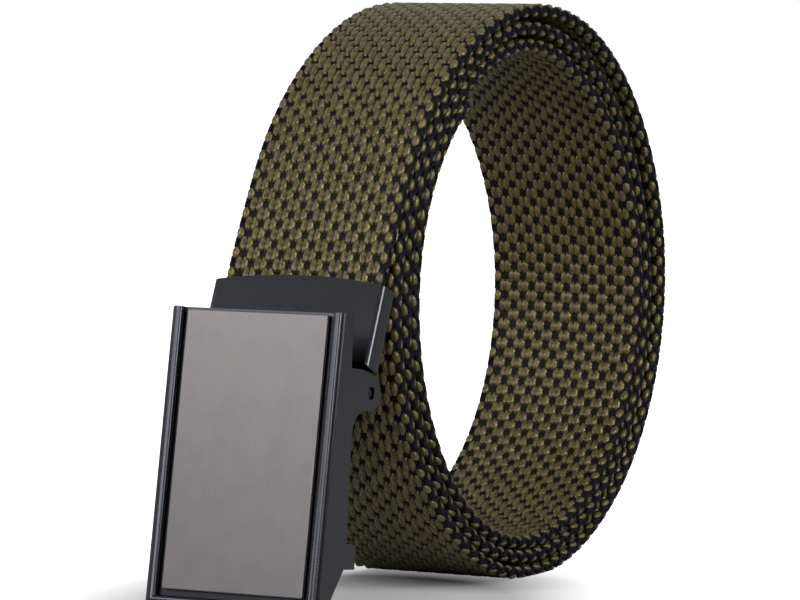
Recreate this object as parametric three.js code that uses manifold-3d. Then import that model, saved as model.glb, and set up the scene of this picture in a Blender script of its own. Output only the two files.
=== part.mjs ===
import * as THREE from 'three';
import { mergeVertices } from 'three/addons/utils/BufferGeometryUtils.js';
import Module from 'manifold-3d';

// Webbing belt with a hinged plate buckle, rolled up and standing on the edge of its roll.
// Millimetres, +Z up. X runs across the strap. The origin is on the floor, under the axis of the roll,
// and the buckle hangs in front of the roll, towards -Y.

// strap
const STRAP_WIDTH = 38;
const STRAP_THICKNESS = 2.7;
const STRAP_CHAMFER = 0.7;
const TURN_GAP = 0.3;
const STRAP_STEP = 5;

// roll: height of its axis over the floor, radius that its table shares out, the angles where the
// strap joins the roll and where its free end stops, and the steps between the table's rows and
// between the points of the path
const AXIS_HEIGHT = 61.8;
const ROLL_RADIUS = 62;
const ROLL_START = 30;
const ROLL_END = 1138;
const TABLE_STEP = 30;
const POINT_STEP = 12;
const ARC_SAMPLES = 4000;

// hinge: how far its axis is in front of the roll and below the roll's axis, and its pin
const HINGE_OUT = 11.2;
const HINGE_DROP = 15.7;
const PIN_RADIUS = 1.2;
const PIN_INSET = 0.3;

// end clamp: a flat sleeve on the strap's sewn end, with a knuckle on the pin; heights and depth are
// from the hinge axis
const CLAMP_TILT = 24;
const CLAMP_MIDDLE = -1.05;
const CLAMP_WALL = 1;
const CLAMP_BOTTOM = 4.4;
const CLAMP_FLOOR = 1.3;
const CLAMP_TOP = 22;
const CLAMP_ARCH = 1.6;
const KNUCKLE_RADIUS = 2.6;

// buckle frame: a tilted channel with its floor behind the face plate, deeper towards its foot, with
// an ear on each cheek for the pin; drops are down the face from the top, depths are behind the face
const FRAME_TILT = 10.8;
const FRAME_LENGTH = 63.7;
const CHEEK = 1;
const RAIL_RADIUS = 1;
const RAIL_RISE = 0.5;
const RAIL_INSET = 0.5;
const FRAME_FLOOR_DEPTH = 1.3;
const FRAME_FLOOR = 1.4;
const EAR_DROP = 14.75;
const EAR_DEPTH = 14.05;
const EAR_RADIUS = 3.8;
const EAR_FILLET = 5;
const KEEPER_THICKNESS = 2.2;

// face plate: its thickness, its distance from the top, and the groove between it and the rails
const PLATE_THICKNESS = 1;
const PLATE_DROP = 0.5;
const PLATE_GROOVE = 1.25;

// lock bar
const LOCK_DROP = 18.2;
const LOCK_DEPTH = 8.9;
const LOCK_RADIUS = 1.1;
const LOCK_POCKET = 0.6;

// clearances of fixed and of turning neighbours, the sides of a round piece and of an arc
const FIT_GAP = 0.3;
const RUNNING_GAP = 0.15;
const ROUND_SIDES = 24;
const ARC_SIDES = 8;

// sizes that several pieces share
const INNER_HALF = STRAP_WIDTH / 2 + FIT_GAP;
const OUTER_HALF = INNER_HALF + CHEEK;
const OVERLAP = CHEEK / 2;
const RAIL_SIDE = OUTER_HALF - RAIL_INSET - RAIL_RADIUS;
const TURN_PITCH = STRAP_THICKNESS + TURN_GAP;

// Radius of the outer turn as a share of ROLL_RADIUS, and the step from each turn to the next one
// inside it as shares of TURN_PITCH. Angle 0 is the front, 90 the top, 180 the back, 270 the floor.
const ROLL_TABLE = [
  { angle: 0, outer: 0.997, second: 1.27, third: 1.33, fourth: 1.27 },
  { angle: 30, outer: 0.968, second: 1.03, third: 1.10, fourth: 1.13 },
  { angle: 60, outer: 0.955, second: 1.03, third: 1.03, fourth: 1.03 },
  { angle: 90, outer: 0.979, second: 1.23, third: 1.23, fourth: 1.03 },
  { angle: 120, outer: 1.016, second: 2.13, third: 1.40, fourth: 1.03 },
  { angle: 150, outer: 1.045, second: 2.53, third: 1.40, fourth: 1.03 },
  { angle: 180, outer: 1.066, second: 2.43, third: 1.50, fourth: 1.03 },
  { angle: 210, outer: 1.052, second: 1.90, third: 1.40, fourth: 1.03 },
  { angle: 240, outer: 1.015, second: 1.30, third: 1.27, fourth: 1.03 },
  { angle: 270, outer: 0.984, second: 1.20, third: 1.05, fourth: 1.03 },
  { angle: 300, outer: 0.953, second: 1.07, third: 1.10, fourth: 1.03 },
  { angle: 330, outer: 0.934, second: 1.20, third: 1.20, fourth: 1.03 },
];

// Outline of a cheek above its ear and below it, as shares of FRAME_LENGTH down the face and of
// EAR_DEPTH behind it.
const CHEEK_HEAD = [
  { corner: 'brow', drop: 0, depth: 0.043 },
  { corner: 'crown', drop: 0, depth: 0.285 },
  { corner: 'neck', drop: 0.166, depth: 0.363 },
  { corner: 'ear root', drop: 0.163, depth: 0.676 },
];
const CHEEK_FOOT = [
  { corner: 'waist', drop: 0.392, depth: 0.545 },
  { corner: 'above keeper', drop: 0.719, depth: 0.669 },
  { corner: 'keeper top', drop: 0.719, depth: 0.940 },
  { corner: 'keeper foot', drop: 0.796, depth: 0.975 },
  { corner: 'below keeper', drop: 0.802, depth: 0.662 },
  { corner: 'heel', drop: 0.947, depth: 0.235 },
  { corner: 'rest', drop: 1.000, depth: 0.206 },
  { corner: 'toe', drop: 0.997, depth: 0.107 },
  { corner: 'lip', drop: 0.960, depth: 0.043 },
];

// Drop of the middle of the bar that closes the face below the plate.
const FOOT_DROP = CHEEK_FOOT.find((row) => row.corner === 'lip').drop * FRAME_LENGTH - RAIL_RADIUS;

const FINISH = {
  webbing: { color: 0x5f5838, roughness: 0.7, metalness: 0 },
  satinBlack: { color: 0x2c2c30, roughness: 0.35, metalness: 0.9 },
  gunmetal: { color: 0x77726f, roughness: 0.35, metalness: 0.9 },
};

const wasm = await Module();
wasm.setup();

// A closed geometry as a solid that can be joined and cut.
function solid(geometry) {
  geometry.deleteAttribute('normal');
  geometry.deleteAttribute('uv');
  const merged = mergeVertices(geometry);
  return new wasm.Manifold(new wasm.Mesh({
    numProp: 3,
    vertProperties: new Float32Array(merged.attributes.position.array),
    triVerts: new Uint32Array(merged.index.array),
  }));
}

// A solid back as a geometry.
function geometryOf(body) {
  const mesh = body.getMesh();
  const geometry = new THREE.BufferGeometry();
  geometry.setAttribute('position', new THREE.BufferAttribute(mesh.vertProperties, 3));
  geometry.setIndex(new THREE.BufferAttribute(mesh.triVerts, 1));
  geometry.computeVertexNormals();
  return geometry;
}

// A named mesh in one of the finishes.
function piece(name, geometry, finish) {
  const mesh = new THREE.Mesh(geometry, new THREE.MeshStandardMaterial(FINISH[finish]));
  mesh.name = name;
  return mesh;
}

// A group whose origin is the hinge axis and whose +Z leans back by a tilt in degrees.
function onHinge(tilt) {
  const group = new THREE.Group();
  group.position.set(0, -ROLL_RADIUS - HINGE_OUT, AXIS_HEIGHT - HINGE_DROP);
  group.rotation.x = THREE.MathUtils.degToRad(-tilt);
  return group;
}

// A block between two opposite corners.
function block(low, high) {
  const size = high.map((value, axis) => value - low[axis]);
  const middle = high.map((value, axis) => (value + low[axis]) / 2);
  return new THREE.BoxGeometry(...size).translate(...middle);
}

// A rod along X, centred on X = 0, at a depth and a height.
function rod(radius, length, depth, height) {
  return new THREE.CylinderGeometry(radius, radius, length, ROUND_SIDES)
    .rotateZ(Math.PI / 2)
    .translate(0, depth, height);
}

// An outline in depth (Y) and height (Z), extruded along X from one place to another.
function acrossX(outline, from, to) {
  const axes = new THREE.Matrix4().makeBasis(
    new THREE.Vector3(0, 1, 0), new THREE.Vector3(0, 0, 1), new THREE.Vector3(1, 0, 0));
  const options = { depth: to - from, bevelEnabled: false, curveSegments: ARC_SIDES };
  return new THREE.ExtrudeGeometry(outline, options)
    .applyMatrix4(axes)
    .translate(from, 0, 0);
}

// Middle radius of the wound strap at a knot of the table, counted in degrees from the front.
function knotRadius(degrees) {
  const row = ROLL_TABLE[(degrees % 360) / TABLE_STEP];
  const steps = ['second', 'third', 'fourth'].slice(0, Math.floor(degrees / 360));
  return steps.reduce((radius, step) => radius - row[step] * TURN_PITCH, row.outer * ROLL_RADIUS);
}

// The strap's middle line: straight out of the clamp, then wound inwards to the free end behind the
// front of the roll.
function strapPath() {
  const knots = [];
  for (let degrees = 0; degrees < ROLL_END + TABLE_STEP; degrees += TABLE_STEP) {
    knots.push(new THREE.Vector2(degrees, knotRadius(degrees)));
  }
  const radii = new THREE.SplineCurve(knots);
  const lastKnot = knots[knots.length - 1].x;

  const clampFrame = onHinge(CLAMP_TILT);
  clampFrame.updateMatrixWorld();
  const straight = [CLAMP_BOTTOM + CLAMP_FLOOR + FIT_GAP, CLAMP_TOP, CLAMP_TOP + STRAP_STEP];
  const points = straight
    .map((height) => clampFrame.localToWorld(new THREE.Vector3(0, CLAMP_MIDDLE, height)));

  const count = Math.round((ROLL_END - ROLL_START) / POINT_STEP);
  for (let i = 0; i <= count; i += 1) {
    const degrees = THREE.MathUtils.lerp(ROLL_START, ROLL_END, i / count);
    const radius = radii.getPoint(degrees / lastKnot).y;
    const angle = THREE.MathUtils.degToRad(degrees);
    const across = -radius * Math.cos(angle);
    points.push(new THREE.Vector3(0, across, AXIS_HEIGHT + radius * Math.sin(angle)));
  }
  const path = new THREE.CatmullRomCurve3(points);
  path.arcLengthDivisions = ARC_SAMPLES;
  return path;
}

// Strap: a ribbon with chamfered edges, pressed flat where its outer turn stands on the floor.
function strapGeometry() {
  const half = STRAP_WIDTH / 2;
  const rise = STRAP_THICKNESS / 2;
  const section = new THREE.Shape([
    new THREE.Vector2(-half, STRAP_CHAMFER - rise),
    new THREE.Vector2(STRAP_CHAMFER - half, -rise),
    new THREE.Vector2(half - STRAP_CHAMFER, -rise),
    new THREE.Vector2(half, STRAP_CHAMFER - rise),
    new THREE.Vector2(half, rise - STRAP_CHAMFER),
    new THREE.Vector2(half - STRAP_CHAMFER, rise),
    new THREE.Vector2(STRAP_CHAMFER - half, rise),
    new THREE.Vector2(-half, rise - STRAP_CHAMFER),
  ]);
  const path = strapPath();
  const steps = Math.round(path.getLength() / STRAP_STEP);
  const options = { steps, extrudePath: path, bevelEnabled: false };
  const geometry = new THREE.ExtrudeGeometry(section, options);
  const place = geometry.attributes.position;
  for (let i = 0; i < place.count; i += 1) {
    place.setZ(i, Math.max(place.getZ(i), 0));
  }
  return geometry;
}

// End clamp: a sleeve with an arched mouth and a closed foot, with a knuckle across it for the pin.
function clampGeometry() {
  const slotHalf = STRAP_THICKNESS / 2 + FIT_GAP;
  const shellHalf = slotHalf + CLAMP_WALL;
  const knuckleLength = STRAP_WIDTH;
  const outline = new THREE.Shape();
  outline.moveTo(-OUTER_HALF, CLAMP_BOTTOM);
  outline.lineTo(OUTER_HALF, CLAMP_BOTTOM);
  outline.lineTo(OUTER_HALF, CLAMP_TOP);
  outline.quadraticCurveTo(0, CLAMP_TOP + 2 * CLAMP_ARCH, -OUTER_HALF, CLAMP_TOP);
  const shell = new THREE.ExtrudeGeometry(outline, { depth: 2 * shellHalf, bevelEnabled: false })
    .rotateX(Math.PI / 2)
    .translate(0, CLAMP_MIDDLE + shellHalf, 0);
  const slotFoot = CLAMP_BOTTOM + CLAMP_FLOOR;
  const slot = block(
    [-INNER_HALF, CLAMP_MIDDLE - slotHalf, slotFoot],
    [INNER_HALF, CLAMP_MIDDLE + slotHalf, CLAMP_TOP + 2 * CLAMP_ARCH]);
  const web = block(
    [-knuckleLength / 2, -CLAMP_FLOOR, 0],
    [knuckleLength / 2, CLAMP_FLOOR, slotFoot - CLAMP_FLOOR / 2]);
  const knuckle = rod(KNUCKLE_RADIUS, knuckleLength, 0, 0);
  const bore = rod(PIN_RADIUS + RUNNING_GAP, 2 * OUTER_HALF, 0, 0);
  return geometryOf(solid(shell)
    .subtract(solid(slot))
    .add(solid(web))
    .add(solid(knuckle))
    .subtract(solid(bore)));
}

// Side view of a cheek in depth and height: the top, the ear, the rear edge, the foot and the lip.
function cheekOutline() {
  const outline = new THREE.Shape();
  const earFoot = EAR_DROP + EAR_RADIUS;
  const filletDepth = CHEEK_FOOT[0].depth * EAR_DEPTH + EAR_FILLET;
  const follow = (row) => outline.lineTo(row.depth * EAR_DEPTH, -row.drop * FRAME_LENGTH);
  outline.moveTo(CHEEK_HEAD[0].depth * EAR_DEPTH, -CHEEK_HEAD[0].drop * FRAME_LENGTH);
  CHEEK_HEAD.slice(1).forEach(follow);
  outline.absarc(EAR_DEPTH, -EAR_DROP, EAR_RADIUS, Math.PI / 2, -Math.PI / 2, true);
  outline.absarc(filletDepth, -earFoot - EAR_FILLET, EAR_FILLET, Math.PI / 2, Math.PI, false);
  CHEEK_FOOT.forEach(follow);
  return outline;
}

// Buckle frame: two cheeks with ears, a floor between them, half-round rails round the face plate,
// a foot, and a keeper across the back that the free end passes through. Pin holes go through the
// ears, and two blind pockets hold the lock bar.
function frameGeometry() {
  const corner = Object.fromEntries(CHEEK_FOOT.map((row) => [row.corner,
    { depth: row.depth * EAR_DEPTH, height: -row.drop * FRAME_LENGTH }]));
  const floorHalf = INNER_HALF + OVERLAP;
  const floorBack = FRAME_FLOOR_DEPTH + FRAME_FLOOR;
  const railDepth = RAIL_RADIUS - RAIL_RISE;

  let body = solid(block([-floorHalf, FRAME_FLOOR_DEPTH, -FOOT_DROP], [floorHalf, floorBack, 0]));
  for (const side of [-1, 1]) {
    const inner = side > 0 ? INNER_HALF : -OUTER_HALF;
    const rail = new THREE.CylinderGeometry(RAIL_RADIUS, RAIL_RADIUS, FOOT_DROP, ROUND_SIDES)
      .rotateX(Math.PI / 2)
      .translate(side * RAIL_SIDE, railDepth, -FOOT_DROP / 2);
    body = body.add(solid(acrossX(cheekOutline(), inner, inner + CHEEK))).add(solid(rail));
  }

  const foot = new THREE.Shape();
  foot.moveTo(floorBack, OVERLAP - FOOT_DROP);
  for (const name of ['heel', 'rest', 'toe', 'lip']) {
    foot.lineTo(corner[name].depth, corner[name].height);
  }
  foot.lineTo(railDepth, -FOOT_DROP);
  const footBar = rod(RAIL_RADIUS, 2 * RAIL_SIDE, railDepth, -FOOT_DROP);
  const keeper = block(
    [-floorHalf, corner['keeper top'].depth - KEEPER_THICKNESS, corner['keeper foot'].height],
    [floorHalf, corner['keeper top'].depth, corner['keeper top'].height]);
  body = body
    .add(solid(acrossX(foot, -floorHalf, floorHalf)))
    .add(solid(footBar))
    .add(solid(keeper));

  const pinHoles = rod(PIN_RADIUS + RUNNING_GAP, 3 * OUTER_HALF, EAR_DEPTH, -EAR_DROP);
  const pockets = rod(LOCK_RADIUS + RUNNING_GAP, 2 * (INNER_HALF + LOCK_POCKET), LOCK_DEPTH, -LOCK_DROP);
  body = body.subtract(solid(pinHoles)).subtract(solid(pockets));
  return geometryOf(body).translate(0, -EAR_DEPTH, EAR_DROP);
}

// Face plate: lies on the frame's floor between the rails and above the bar at the foot.
function plateGeometry() {
  const half = RAIL_SIDE - RAIL_RADIUS - PLATE_GROOVE;
  const plateFoot = FOOT_DROP - RAIL_RADIUS - PLATE_GROOVE;
  return block(
    [-half, -EAR_DEPTH, EAR_DROP - plateFoot],
    [half, PLATE_THICKNESS - EAR_DEPTH, EAR_DROP - PLATE_DROP]);
}

const belt = new THREE.Group();
belt.add(piece('strap', strapGeometry(), 'webbing'));

const clamp = onHinge(CLAMP_TILT);
clamp.add(piece('end_clamp', clampGeometry(), 'satinBlack'));
belt.add(clamp);

const buckle = onHinge(FRAME_TILT);
const lockLength = 2 * (INNER_HALF + LOCK_POCKET - RUNNING_GAP);
buckle.add(piece('buckle_frame', frameGeometry(), 'satinBlack'));
buckle.add(piece('face_plate', plateGeometry(), 'gunmetal'));
buckle.add(piece('hinge_pin', rod(PIN_RADIUS, 2 * (OUTER_HALF - PIN_INSET), 0, 0), 'satinBlack'));
buckle.add(piece('lock_bar',
  rod(LOCK_RADIUS, lockLength, LOCK_DEPTH - EAR_DEPTH, EAR_DROP - LOCK_DROP), 'satinBlack'));
belt.add(buckle);

export default belt;
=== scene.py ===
import math

import bmesh
import bpy
import numpy as np
from mathutils import Matrix, Vector


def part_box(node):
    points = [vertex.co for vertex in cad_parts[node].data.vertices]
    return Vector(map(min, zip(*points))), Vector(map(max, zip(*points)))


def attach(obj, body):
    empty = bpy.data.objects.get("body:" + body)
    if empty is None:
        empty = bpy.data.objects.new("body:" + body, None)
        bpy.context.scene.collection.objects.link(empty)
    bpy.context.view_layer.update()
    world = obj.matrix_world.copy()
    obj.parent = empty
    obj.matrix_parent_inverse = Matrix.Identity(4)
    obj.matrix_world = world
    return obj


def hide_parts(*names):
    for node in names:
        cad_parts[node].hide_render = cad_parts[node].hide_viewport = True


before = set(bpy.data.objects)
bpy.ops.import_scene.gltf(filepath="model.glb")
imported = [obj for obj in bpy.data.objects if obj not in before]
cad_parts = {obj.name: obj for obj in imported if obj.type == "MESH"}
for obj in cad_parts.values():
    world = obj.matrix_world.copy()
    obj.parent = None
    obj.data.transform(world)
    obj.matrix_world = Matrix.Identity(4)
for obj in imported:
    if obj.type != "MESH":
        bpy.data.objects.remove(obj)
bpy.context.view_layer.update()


# The webbing's route. The strap comes straight out of the end clamp, meets the roll at its upper
# front and winds inwards for a little over three turns. All lengths of the strap are in mm here, and
# its pieces are made flat (x across, y along, z out of the face) and then wound onto the route.
axis_height = 61.8
roll_radius = 62.0
turn_pitch = 3.0
# degrees round the roll, from its front over the top, where the strap meets it and where it ends
roll_start, roll_end, roll_steps = 30.0, 1138.0, 92
table_step = 30
# shares of roll_radius for the outer turn, then of turn_pitch for the steps to the turns inside it,
# every 30 degrees from the front over the top
roll_table = np.array([
    (0.997, 1.27, 1.33, 1.27), (0.968, 1.03, 1.10, 1.13), (0.955, 1.03, 1.03, 1.03),
    (0.979, 1.23, 1.23, 1.03), (1.016, 2.13, 1.40, 1.03), (1.045, 2.53, 1.40, 1.03),
    (1.066, 2.43, 1.50, 1.03), (1.052, 1.90, 1.40, 1.03), (1.015, 1.30, 1.27, 1.03),
    (0.984, 1.20, 1.05, 1.03), (0.953, 1.07, 1.10, 1.03), (0.934, 1.20, 1.20, 1.03)])
# the straight part slopes with the clamp: its distance behind the hinge, then its places up the slope
hinge_y, hinge_z = -73.2, 46.1
clamp_tilt = math.radians(24)
clamp_middle = -1.05
strap_foot, clamp_top, strap_free = 6.0, 22.0, 27.0
route_parts = 24


def spline(points, parts):
    """Points along the smooth curve through the given ones, each span cut into parts."""
    padded = np.vstack([2 * points[0] - points[1], points, 2 * points[-1] - points[-2]])
    share = np.arange(parts)[:, None] / parts
    spans = []
    for before, start, end, after in zip(padded, padded[1:], padded[2:], padded[3:]):
        come, span, go = (np.linalg.norm(step) ** 0.5
                          for step in (start - before, end - start, after - end))
        leave = ((start - before) / come - (end - before) / (come + span) + (end - start) / span) * span
        arrive = ((end - start) / span - (after - start) / (span + go) + (after - end) / go) * span
        spans.append((2 * share ** 3 - 3 * share ** 2 + 1) * start
                     + (share ** 3 - 2 * share ** 2 + share) * leave
                     + (3 * share ** 2 - 2 * share ** 3) * end
                     + (share ** 3 - share ** 2) * arrive)
    return np.vstack(spans + [points[-1:]])


def strap_route():
    """The strap's middle line in the YZ plane."""
    knots = np.arange(0, roll_end + table_step, table_step)
    radii = []
    for knot in knots.astype(int):
        row = roll_table[knot % 360 // table_step]
        radii.append(row[0] * roll_radius - row[1:1 + knot // 360].sum() * turn_pitch)
    degrees = np.linspace(roll_start, roll_end, roll_steps + 1)
    place = degrees / table_step
    left = np.floor(place).astype(int)
    share = place - left
    padded = np.array([radii[0]] + radii + [radii[-1]] * 2)
    before, start, end, after = (padded[left + i] for i in range(4))
    leave, arrive = (end - before) / 2, (after - start) / 2
    radius = (2 * start - 2 * end + leave + arrive) * share ** 3 \
        + (3 * end - 3 * start - 2 * leave - arrive) * share ** 2 + leave * share + start
    turn = np.radians(degrees)
    roll = np.stack([-radius * np.cos(turn), axis_height + radius * np.sin(turn)], 1)
    up = np.array([strap_foot, clamp_top, strap_free])
    straight = np.stack([hinge_y + math.cos(clamp_tilt) * clamp_middle + math.sin(clamp_tilt) * up,
                         hinge_z - math.sin(clamp_tilt) * clamp_middle + math.cos(clamp_tilt) * up], 1)
    return spline(np.vstack([straight, roll]), route_parts)


route = strap_route()
route_lengths = np.concatenate([[0], np.cumsum(np.linalg.norm(np.diff(route, axis=0), axis=1))])
route_ahead = np.gradient(route, axis=0)
route_ahead /= np.linalg.norm(route_ahead, axis=1)[:, None]
strap_length = route_lengths[-1]


def wind(piece):
    """Winds a flat piece of the strap onto the route, and keeps it above the floor. Its flat place
    stays in the attribute "flat", which the yarns' patterns follow."""
    mesh = piece.data
    flat = np.empty(len(mesh.vertices) * 3, np.float32)
    mesh.vertices.foreach_get("co", flat)
    mesh.attributes.new("flat", "FLOAT_VECTOR", "POINT").data.foreach_set("vector", flat)
    across, along, out = flat.reshape(-1, 3).T
    middle_y, middle_z, ahead_y, ahead_z = (
        np.interp(along, route_lengths, line) for line in (*route.T, *route_ahead.T))
    spots = np.stack([across, middle_y - out * ahead_z, middle_z + out * ahead_y], 1)
    spots[:, 2] = np.maximum(spots[:, 2], 0)
    mesh.vertices.foreach_set("co", (spots * 0.001).astype(np.float32).ravel())
    mesh.update()


def piece_of(name, shape, material, smooth=True):
    """A finished object made of a bmesh, with its material."""
    mesh = bpy.data.meshes.new(name)
    shape.to_mesh(mesh)
    shape.free()
    mesh.materials.append(material)
    mesh.polygons.foreach_set("use_smooth", [smooth] * len(mesh.polygons))
    made = bpy.data.objects.new(name, mesh)
    bpy.context.scene.collection.objects.link(made)
    return made


def repeat(shape, base, moves):
    """Copies some geometry of a bmesh once for each move, and moves the copy by it."""
    for move in moves:
        copied = bmesh.ops.duplicate(shape, geom=base)["geom"]
        corners = [v for v in copied if isinstance(v, bmesh.types.BMVert)]
        bmesh.ops.translate(shape, verts=corners, vec=move)


def colour(code):
    """An sRGB hex colour as linear RGBA."""
    parts = [int(code[i:i + 2], 16) / 255 for i in (1, 3, 5)]
    return [p / 12.92 if p <= 0.04045 else ((p + 0.055) / 1.055) ** 2.4 for p in parts] + [1.0]


def add_node(material, kind, settings=None, links=None):
    """Adds a node to a material, with its settings and the sockets that feed its inputs."""
    node = material.node_tree.nodes.new("ShaderNode" + kind)
    for name, value in (settings or {}).items():
        if isinstance(name, str) and hasattr(node, name):
            setattr(node, name, value)
        else:
            node.inputs[name].default_value = value
    for name, socket in (links or {}).items():
        material.node_tree.links.new(socket, node.inputs[name])
    return node


def fade(material, amount, low, high):
    """A colour that goes from one stop to the other, each a place and a code, as the amount rises."""
    ramp = add_node(material, "ValToRGB", links={"Fac": amount})
    for stop, (place, code) in zip(ramp.color_ramp.elements, (low, high)):
        stop.position = place
        stop.color = colour(code)
    return ramp.outputs["Color"]


def new_finish(name):
    """An empty material and its shader."""
    material = bpy.data.materials.new(name)
    material.use_nodes = True
    return material, material.node_tree.nodes["Principled BSDF"]


def feed(material, shader, base=None, height=None, strength=0.0, distance=0.0):
    """Feeds a shader its base colour and, from a height, its bump."""
    if base is not None:
        material.node_tree.links.new(base, shader.inputs["Base Color"])
    if height is not None:
        bump = add_node(material, "Bump", {"Strength": strength, "Distance": distance},
                        {"Height": height})
        material.node_tree.links.new(bump.outputs["Normal"], shader.inputs["Normal"])


# The weft: black polyester picks that fill the strap between its two faces, woven in from side to
# side. They show as small ribbed knots wherever a warp strand dives.
# The bend pushes the yarns together on the inside of the roll, so the core stands higher there.
wanted_period = 4.49
periods = round(strap_length / wanted_period)
weave_period = strap_length / periods
column_pitch = 2.235
ribs_in_period = 4
rib_rows = 3
core_half_width = 18.3
core_shoulder = 16.6
core_rises = {1: 0.78, -1: 0.88}
core_edge_rise = 0.8
rib_height = 0.3

# a dull near-black with a faint blue, which keeps the knots dark between the strands; its fibres
# are specks of about 0.2 mm, drawn coarser than the real 0.03 mm to show
weft_black, shader = new_finish("black_polyester_weft")
flat_place = add_node(weft_black, "Attribute", {"attribute_name": "flat"})
fibres = add_node(weft_black, "TexNoise", {"Scale": 5.0, "Detail": 3.0},
                  {"Vector": flat_place.outputs["Vector"]})
fibre_colour = fade(weft_black, fibres.outputs["Fac"], (0.35, "#030304"), (0.7, "#111219"))
feed(weft_black, shader, fibre_colour, fibres.outputs["Fac"], strength=0.4, distance=0.0001)
shader.inputs["Roughness"].default_value = 0.55
shader.inputs["Specular IOR Level"].default_value = 0.15

shape = bmesh.new()
bmesh.ops.create_cube(shape, size=1)
long_edges = [e for e in shape.edges if abs(e.verts[0].co.y - e.verts[1].co.y) > 0.5]
rows = periods * ribs_in_period * rib_rows
bmesh.ops.subdivide_edges(shape, edges=long_edges, cuts=rows - 1)
wide_edges = [e for e in shape.edges if abs(e.verts[0].co.x - e.verts[1].co.x) > 0.5]
bmesh.ops.subdivide_edges(shape, edges=wide_edges, cuts=3)
for vertex in shape.verts:
    # -1 and 1 are the edges, -0.5 and 0.5 the shoulders, 0 the middle
    side = round(vertex.co.x * 4) / 2
    row = round((vertex.co.y + 0.5) * rows)
    face = math.copysign(1, vertex.co.z)
    rib = math.cos(2 * math.pi * row / rib_rows) * rib_height / 2
    rise = core_rises[face] + rib if abs(side) < 1 else core_edge_rise
    across = side * (core_half_width if abs(side) == 1 else core_shoulder * 2)
    vertex.co = Vector((across, row / rows * strap_length, face * rise))
bmesh.ops.recalc_face_normals(shape, faces=shape.faces)
strap_weft = piece_of("strap_weft", shape, weft_black)
wind(strap_weft)
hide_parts("strap")
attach(strap_weft, "strap_end")


# The warp: pairs of olive strands of silky polyester, in fifteen columns on each face. Each pair
# floats for most of the weave's period and then dives under the weft; neighbours float half a
# period apart. Both faces are woven alike.
column_count = 15
# across one strand, from its outer side to the pair's middle: shares of the pair's half width, and
# heights; inside the roll the strands are pushed together, so the cleft between them is shallower
strand_places = (1.0, 0.75, 0.3, 0.0)
strand_heights = {1: (0.80, 1.36, 1.38, 0.72), -1: (0.80, 1.28, 1.38, 1.04)}
# along one float: share of the period, share of the full height, half the pair's width, how much
# deeper the cleft between its strands is, and the share of the period for the cleft's own points
float_rows = ((0.0, 0.0, 0.88, 0.3, 0.0), (0.115, 0.0, 0.98, 0.3, 0.14), (0.15, 0.66, 1.18, 0.3, 0.24),
              (0.26, 0.95, 1.38, 0.2, 0.32), (0.5, 1.0, 1.54, 0.0, 0.5), (0.74, 0.95, 1.38, 0.1, 0.70),
              (0.85, 0.66, 1.18, 0.3, 0.79), (0.885, 0.0, 0.98, 0.3, 0.86))
# the height that a float starts from, and how far it sinks where it dives
strand_foot = 0.42
strand_sink = 0.3
# the bend draws the floats out on the outside of the roll and shortens them on its inside
float_lengths = {1: 1.0, -1: 0.92}
# painted shade: the olive is drawn darker down between the strands, where shade falls: heights between
# which it darkens and the share of the colour left at the lower one
painted_groove_shade = {1: ((0.72, 1.24), 0.28), -1: ((0.72, 1.2), 0.4)}
strand_shades = (0.8, 1.0)
float_numbers = 100

# streaked olive with a warm, silky highlight on each float; the filaments are about 0.03 mm in the
# real strands, drawn about 0.3 mm wide to show
warp_olive, shader = new_finish("olive_polyester_warp")
flat_place = add_node(warp_olive, "Attribute", {"attribute_name": "flat"})
strand_shade = add_node(warp_olive, "Attribute", {"attribute_name": "shade"})
filament_place = add_node(warp_olive, "Mapping", {"Scale": (3.6, 0.8, 1.2), "Rotation": (0.0, 0.0, 0.3)},
                          {"Vector": flat_place.outputs["Vector"]})
filaments = add_node(warp_olive, "TexNoise", {"Scale": 1.0, "Detail": 3.0, "Roughness": 0.6},
                     {"Vector": filament_place.outputs["Vector"]})
olive = fade(warp_olive, filaments.outputs["Fac"], (0.36, "#231f10"), (0.64, "#675d34"))
# the olive times each corner's stored brightness: each float's own tone and, on the warp, painted shade
# between the strands
shaded = add_node(warp_olive, "Mix", {"data_type": "RGBA", "blend_type": "MULTIPLY", 0: 1.0},
                  {6: olive, 7: strand_shade.outputs["Color"]})
feed(warp_olive, shader, shaded.outputs[2], filaments.outputs["Fac"], strength=0.8, distance=0.00015)
shader.inputs["Roughness"].default_value = 0.3
shader.inputs["Specular IOR Level"].default_value = 1.0
shader.inputs["Specular Tint"].default_value = colour("#f0e2b4")

shades = np.random.default_rng(38)


def store_shade(mesh, shade):
    """Stores a brightness for each corner, for the olive material: each float's own tone and, on the
    warp, painted shade down between the strands.
    """
    mesh.attributes.new("shade", "FLOAT_COLOR", "POINT").data.foreach_set("color", np.repeat(shade, 4))


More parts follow.
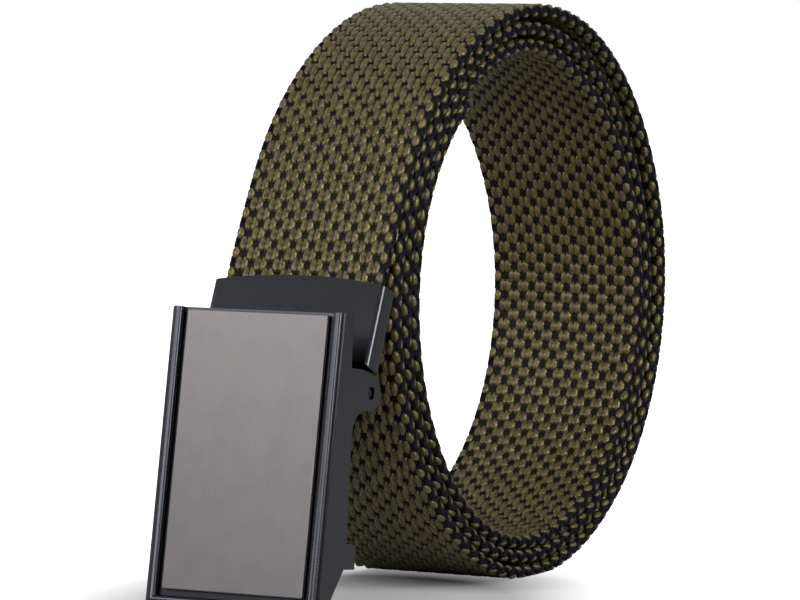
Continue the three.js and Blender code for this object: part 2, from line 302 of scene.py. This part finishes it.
def weave_warp(name, face, columns):
    """Some columns of warp pairs on one face (1 outside, -1 inside of the roll)."""
    shape = bmesh.new()
    cells = 2 * (len(strand_places) - 1)
    phase = (columns[0] + (face < 0)) % 2
    rows_in_period = len(float_rows)
    rows = (periods - phase) * rows_in_period
    bmesh.ops.create_grid(shape, x_segments=cells, y_segments=rows, size=0.5)
    base = shape.verts[:] + shape.edges[:] + shape.faces[:]
    repeat(shape, base, [(2 * step, 0, 0) for step in range(1, len(columns))])
    made = piece_of(name, shape, warp_olive)
    mesh = made.data
    spots = np.empty(len(mesh.vertices) * 3)
    mesh.vertices.foreach_get("co", spots)
    spots = spots.reshape(-1, 3)
    order = np.round(spots[:, 0] / 2).astype(int)
    cell = np.round((spots[:, 0] - 2 * order + 0.5) * cells).astype(int)
    row = np.round((spots[:, 1] + 0.5) * rows).astype(int)
    column = np.array(columns)[order]
    place = np.array(strand_places + strand_places[-2::-1])
    place[:cells // 2] *= -1
    height = np.array(strand_heights[face] + strand_heights[face][-2::-1])
    share, raised, half, cleft, cleft_share = np.array(float_rows)[row % rows_in_period].T
    between = cell == cells // 2
    share = 0.5 + (np.where(between, cleft_share, share) - 0.5) * float_lengths[face]
    along = (row // rows_in_period + share + phase / 2) * weave_period
    top = height[cell] - between * cleft
    across = (column - (column_count - 1) / 2) * column_pitch + place[cell] * half
    out = strand_foot + (top - strand_foot) * raised - (raised == 0) * strand_sink
    spots = np.stack([across, along, out * face], 1)
    mesh.vertices.foreach_set("co", spots.ravel())
    if face < 0:
        mesh.flip_normals()
    # each float of each strand has a number, and with it a brightness of its own
    strand = column * 2 + (cell > cells // 2) + float_numbers * (row // rows_in_period)
    shade = shades.uniform(*strand_shades, strand.max() + 1)[strand]
    # painted shade: the olive darkens down between the strands with the height of each corner
    painted_shade_heights, painted_shade_left = painted_groove_shade[face]
    store_shade(mesh, shade * np.interp(out, painted_shade_heights, (painted_shade_left, 1.0)))
    wind(made)
    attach(made, "strap_end")
    return made


weave_warp("strap_warp_outside_even", 1, range(0, column_count, 2))
weave_warp("strap_warp_outside_odd", 1, range(1, column_count, 2))
weave_warp("strap_warp_inside_even", -1, range(0, column_count, 2))
weave_warp("strap_warp_inside_odd", -1, range(1, column_count, 2))


# The selvedges: along each edge runs one thicker strand of the warp per face. Its floats are single
# full ovals, and the weft turns round the edge between them in a zigzag of two yarns.
oval_size = (0.92, 1.44, 0.66)
oval_across = 17.6
oval_out = 0.74
oval_lean = math.radians(13)
oval_starts = {1: 1.0, -1: 1.5}
oval_shades = (0.85, 1.0)
turn_radius = 0.22
turn_across = 18.55
turn_swing = 0.95
turn_inset = 0.45
turn_gap = 0.26
turn_margin = 0.6
turn_rows = 6
# how far apart the two yarns are while they are made
lane = 10

for side, side_name in ((1, "near"), (-1, "far")):
    shape = bmesh.new()
    for face in (1, -1):
        place = Vector((side * oval_across, oval_starts[face] * weave_period, face * oval_out))
        lean = Matrix.Rotation(face * oval_lean, 4, "X")
        stretch = Matrix.Diagonal((*oval_size, 1)) @ Matrix.Rotation(math.pi / 2, 4, "X")
        bmesh.ops.create_uvsphere(shape, u_segments=8, v_segments=6, radius=1.0,
                                  matrix=Matrix.Translation(place) @ lean @ stretch)
    base = shape.verts[:] + shape.edges[:] + shape.faces[:]
    repeat(shape, base, [(0, count * weave_period, 0) for count in range(1, periods - 1)])
    made = piece_of(f"strap_edge_{side_name}", shape, warp_olive)
    oval_count = 2 * (periods - 1)
    shade = shades.uniform(*oval_shades, oval_count)
    store_shade(made.data, np.repeat(shade, len(made.data.vertices) // oval_count))
    wind(made)
    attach(made, "strap_end")

    shape = bmesh.new()
    bmesh.ops.create_cone(shape, cap_ends=True, segments=5, radius1=1, radius2=1, depth=1,
                          matrix=Matrix.Rotation(math.pi / 2, 4, "X"))
    long_edges = [e for e in shape.edges if abs(e.verts[0].co.y - e.verts[1].co.y) > 0.5]
    rows = periods * turn_rows
    bmesh.ops.subdivide_edges(shape, edges=long_edges, cuts=rows - 1)
    repeat(shape, shape.verts[:] + shape.edges[:] + shape.faces[:], [(lane, 0, 0)])
    for vertex in shape.verts:
        row = round((vertex.co.y + 0.5) * rows)
        beside = 1 if vertex.co.x > lane / 2 else -1
        swing = math.cos(2 * math.pi * (row / turn_rows + 0.5))
        in_yarn = vertex.co.x - lane / 2 - lane / 2 * beside
        vertex.co = Vector((
            side * (turn_across - turn_inset * swing ** 2) + in_yarn * turn_radius,
            turn_margin + beside * turn_gap + row / rows * (strap_length - 2 * turn_margin),
            swing * turn_swing + vertex.co.z * turn_radius))
    made = piece_of(f"strap_weft_turns_{side_name}", shape, weft_black)
    wind(made)
    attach(made, "strap_end")


# The seal: the strap's free end was cut hot, which melts its polyester yarns into one hard, rounded
# rim.
seal_size = (37.4, 1.8, 2.6)
seal_rounding = 0.5

# black with olive run into it in blots of about 0.7 mm, smoother and shinier than the yarns
melted_rim, shader = new_finish("melted_polyester_rim")
flat_place = add_node(melted_rim, "Attribute", {"attribute_name": "flat"})
melt = add_node(melted_rim, "TexNoise", {"Scale": 1.5, "Detail": 3.0},
                {"Vector": flat_place.outputs["Vector"]})
melt_colour = fade(melted_rim, melt.outputs["Fac"], (0.0, "#0a0a09"), (1.0, "#2b2716"))
feed(melted_rim, shader, melt_colour, melt.outputs["Fac"], strength=0.5, distance=0.0002)
shader.inputs["Roughness"].default_value = 0.4

shape = bmesh.new()
bmesh.ops.create_cube(shape, size=1, matrix=Matrix.Translation((0, strap_length - seal_size[1] / 2, 0))
                      @ Matrix.Diagonal((*seal_size, 1)))
bmesh.ops.bevel(shape, geom=shape.edges[:], affect="EDGES", offset=seal_rounding, segments=3, profile=0.5)
seal = piece_of("strap_end_seal", shape, melted_rim)
wind(seal)
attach(seal, "strap_end")


# The metal pieces of the buckle. Each is the frame's own piece with its edges rounded as the real
# one's are; all lengths are in metres from here on.
sharp_angle = math.radians(35)
flat_angle = math.radians(1)
weld_distance = 1e-6
# an edge this close to a piece's side face lies on it
side_depth = 0.0001


def rounded_copy(node, material, body, radius, side_radius=None, side_length=0.0):
    """The frame's own piece as one shell with rounded edges; it then stands for the node. Edges of
    the two side faces, or only the long ones, may be rounder than the rest."""
    shape = bmesh.new()
    shape.from_mesh(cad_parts[node].data)
    bmesh.ops.remove_doubles(shape, verts=shape.verts, dist=weld_distance)
    bmesh.ops.dissolve_limit(shape, angle_limit=flat_angle, verts=shape.verts, edges=shape.edges)
    if side_radius:
        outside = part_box(node)[1][0] - side_depth
        sides = [e for e in shape.edges if e.calc_length() > side_length
                 and all(abs(v.co.x) > outside for v in e.verts) and e.calc_face_angle(0) > sharp_angle]
        bmesh.ops.bevel(shape, geom=sides, affect="EDGES", offset=side_radius, segments=4,
                        profile=0.5, material=-1)
    sharp = [e for e in shape.edges if e.calc_face_angle(0) > sharp_angle]
    bmesh.ops.bevel(shape, geom=sharp, affect="EDGES", offset=radius, segments=2, profile=0.5,
                    material=-1, clamp_overlap=True)
    shape.normal_update()
    # each corner leans to its largest face, so flat faces stay flat and roundings shade smoothly
    leans = []
    for vertex in shape.verts:
        lean = sum((face.normal * face.calc_area() for face in vertex.link_faces), Vector())
        leans.append(lean.normalized())
    made = piece_of(node + "_finished", shape, material)
    made.data.normals_split_custom_set_from_vertices(leans)
    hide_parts(node)
    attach(made, body)


# The end clamp: a sleeve of die-cast zinc, plated satin black, closed round the strap's sewn end. Its
# knuckle turns on the hinge pin.
# Plated: nearly black and smooth, with soft bright bands along the roundings. The brushed lines run
# along the width; real ones are about 0.05 mm, these are drawn about 0.4 mm apart to show.
satin_black, shader = new_finish("satin_black_plated_zinc")
here = add_node(satin_black, "TexCoord")
line_place = add_node(satin_black, "Mapping", {"Scale": (70.0, 2600.0, 2600.0)},
                      {"Vector": here.outputs["Object"]})
lines = add_node(satin_black, "TexNoise", {"Scale": 1.0, "Detail": 3.0},
                 {"Vector": line_place.outputs["Vector"]})
feed(satin_black, shader, fade(satin_black, lines.outputs["Fac"], (0.3, "#434449"), (0.7, "#4b4c51")))
shader.inputs["Metallic"].default_value = 1.0
shader.inputs["Roughness"].default_value = 0.23
rounded_copy("end_clamp", satin_black, "strap_end", radius=0.00015, side_radius=0.0012,
             side_length=0.012)


# The buckle's body: cast and plated like the clamp, in one piece with its cheeks, rails and keeper.
# The pin goes through its ears.
rounded_copy("buckle_frame", satin_black, "buckle", radius=0.00018)


# The face plate: a separate sheet of stainless steel, brushed and tinted gunmetal, let into the
# buckle's face.
# Brushed: a soft, grey-brown sheen without clear reflections. The grain runs upwards in lines of
# about 0.1 mm.
gunmetal, shader = new_finish("brushed_gunmetal_steel")
here = add_node(gunmetal, "TexCoord")
grain_place = add_node(gunmetal, "Mapping", {"Scale": (9000.0, 150.0, 150.0)},
                       {"Vector": here.outputs["Object"]})
grain = add_node(gunmetal, "TexNoise", {"Scale": 1.0, "Detail": 2.0},
                 {"Vector": grain_place.outputs["Vector"]})
grain_colour = fade(gunmetal, grain.outputs["Fac"], (0.0, "#747070"), (1.0, "#7e7a7a"))
# the tint lies a little unevenly, in soft patches of about 5 mm
patches = add_node(gunmetal, "TexNoise", {"Scale": 200.0, "Detail": 3.0},
                   {"Vector": here.outputs["Object"]})
patch_colour = fade(gunmetal, patches.outputs["Fac"], (0.3, "#f4f6f9"), (0.7, "#fffefd"))
tinted = add_node(gunmetal, "Mix", {"data_type": "RGBA", "blend_type": "MULTIPLY", 0: 1.0},
                  {6: grain_colour, 7: patch_colour})
feed(gunmetal, shader, tinted.outputs[2], grain.outputs["Fac"], strength=0.05, distance=0.0001)
shader.inputs["Metallic"].default_value = 1.0
shader.inputs["Roughness"].default_value = 0.36
rounded_copy("face_plate", gunmetal, "buckle", radius=0.00028)


# The hinge pin: turned steel, blackened, with rounded ends that show in the ears.
# Turned: dark with a small sharp highlight, broken up by faint marks about 1 mm apart.
pin_steel, shader = new_finish("blackened_turned_steel")
here = add_node(pin_steel, "TexCoord")
turning = add_node(pin_steel, "TexNoise", {"Scale": 900.0}, {"Vector": here.outputs["Object"]})
feed(pin_steel, shader, height=turning.outputs["Fac"], strength=0.05, distance=0.0001)
shader.inputs["Base Color"].default_value = colour("#2e2e32")
shader.inputs["Metallic"].default_value = 1.0
shader.inputs["Roughness"].default_value = 0.3
rounded_copy("hinge_pin", pin_steel, "buckle", radius=0.00015, side_radius=0.0006)


# The lock bar: a plain bar of the same steel inside the body, where the strap's free end is held.
rounded_copy("lock_bar", pin_steel, "buckle", radius=0.0001)


# The studio: a white floor and a white room, a long soft light in front on the left, one above, one
# on the right, a weak one in front on the right, and the camera at the photographed angle.
floor_size = 3
floor_white, shader = new_finish("white_studio_floor")
here = add_node(floor_white, "TexCoord")
# to the camera, the floor turns into the photo's pure white between 36 and 70 mm from a point below
# the roll's front; what it throws back at the object is dimmer than what is seen
# painted light: the floor's glow is an emission seen only by the camera, none within 36 mm and full
# beyond 70 mm, so the floor nearer the roll stays darker
below_front = add_node(floor_white, "Mapping", {"Location": (0.0, 0.05, 0.0)},
                        {"Vector": here.outputs["Object"]})
away = add_node(floor_white, "VectorMath", {"operation": "LENGTH"}, {0: below_front.outputs["Vector"]})
glow = add_node(floor_white, "MapRange", {"From Min": 0.036, "From Max": 0.07},
                {"Value": away.outputs["Value"]})
seen = add_node(floor_white, "LightPath")
seen_glow = add_node(floor_white, "Math", {"operation": "MULTIPLY"},
                     {0: glow.outputs["Result"], 1: seen.outputs["Is Camera Ray"]})
seen_white = add_node(floor_white, "MapRange", {"To Min": 0.52, "To Max": 0.7},
                      {"Value": seen.outputs["Is Camera Ray"]})
# the contact shadow, which the white room would fill: an oval of about 60 by 53 mm below the roll,
# darkest in its middle
below_roll = add_node(floor_white, "Mapping", {"Location": (-0.25, 0.2, 0.0), "Scale": (28.0, 32.0, 1.0)},
                      {"Vector": here.outputs["Object"]})
aside = add_node(floor_white, "VectorMath", {"operation": "LENGTH"}, {0: below_roll.outputs["Vector"]})
shadow = add_node(floor_white, "MapRange", {"From Min": 0.15, "From Max": 0.85, "To Min": 0.15},
                  {"Value": aside.outputs["Value"]})
shaded_white = add_node(floor_white, "Math", {"operation": "MULTIPLY"},
                        {0: seen_white.outputs["Result"], 1: shadow.outputs["Result"]})
feed(floor_white, shader, shaded_white.outputs["Value"])
floor_white.node_tree.links.new(seen_glow.outputs["Value"], shader.inputs["Emission Strength"])
shader.inputs["Roughness"].default_value = 1.0
shader.inputs["Specular IOR Level"].default_value = 0.0
shader.inputs["Emission Color"].default_value = (1, 1, 1, 1)
shape = bmesh.new()
bmesh.ops.create_grid(shape, x_segments=1, y_segments=1, size=floor_size)
floor = piece_of("studio_floor", shape, floor_white, smooth=False)

# the room is white to the camera; as light on the object it is dimmer in front and grows to the back
world = bpy.data.worlds.new("studio")
world.use_nodes = True
toward = add_node(world, "TexCoord")
parts = add_node(world, "SeparateXYZ", links={0: toward.outputs["Generated"]})
room = add_node(world, "MapRange", {"From Min": 0.0, "From Max": 0.8, "To Min": 0.3, "To Max": 0.55},
                {"Value": parts.outputs["Y"]})
seen = add_node(world, "LightPath")
strength = add_node(world, "Math", {"operation": "MAXIMUM"},
                    {0: room.outputs["Result"], 1: seen.outputs["Is Camera Ray"]})
background = world.node_tree.nodes["Background"]
background.inputs["Color"].default_value = (1, 1, 1, 1)
world.node_tree.links.new(strength.outputs["Value"], background.inputs["Strength"])
bpy.context.scene.world = world

roll_middle = Vector((0, 0, 0.06))


def soft_light(name, place, width, height, power):
    """A soft light at a place, aimed at the roll's middle."""
    light = bpy.data.lights.new(name, "AREA")
    light.shape = "RECTANGLE"
    light.size, light.size_y = width, height
    light.energy = power
    lamp = bpy.data.objects.new(name, light)
    lamp.location = place
    lamp.rotation_euler = (roll_middle - Vector(place)).to_track_quat("-Z", "Y").to_euler()
    bpy.context.scene.collection.objects.link(lamp)


soft_light("front_light", (-0.52, -0.85, 0.43), width=1.4, height=0.24, power=4.4)
soft_light("top_light", (-0.25, -0.4, 0.85), width=0.35, height=0.35, power=1.0)
soft_light("side_light", (0.84, -0.22, 0.46), width=0.35, height=0.65, power=6.3)
soft_light("fill_light", (0.42, -0.94, 0.32), width=0.5, height=0.3, power=1.7)

camera_data = bpy.data.cameras.new("camera")
camera_data.sensor_width = 36
camera_data.lens = 220.8
camera_data.clip_end = 20
camera = bpy.data.objects.new("camera", camera_data)
aim = Vector((0, -0.02457, 0.0611))
azimuth, elevation, distance = math.radians(28.994), math.radians(4.381), 1.04764
camera.location = aim + distance * Vector((
    math.sin(azimuth) * math.cos(elevation), -math.cos(azimuth) * math.cos(elevation),
    math.sin(elevation)))
camera.rotation_euler = (aim - camera.location).to_track_quat("-Z", "Y").to_euler()
bpy.context.scene.collection.objects.link(camera)
bpy.context.scene.camera = camera
bpy.context.scene.view_settings.view_transform = "Standard"
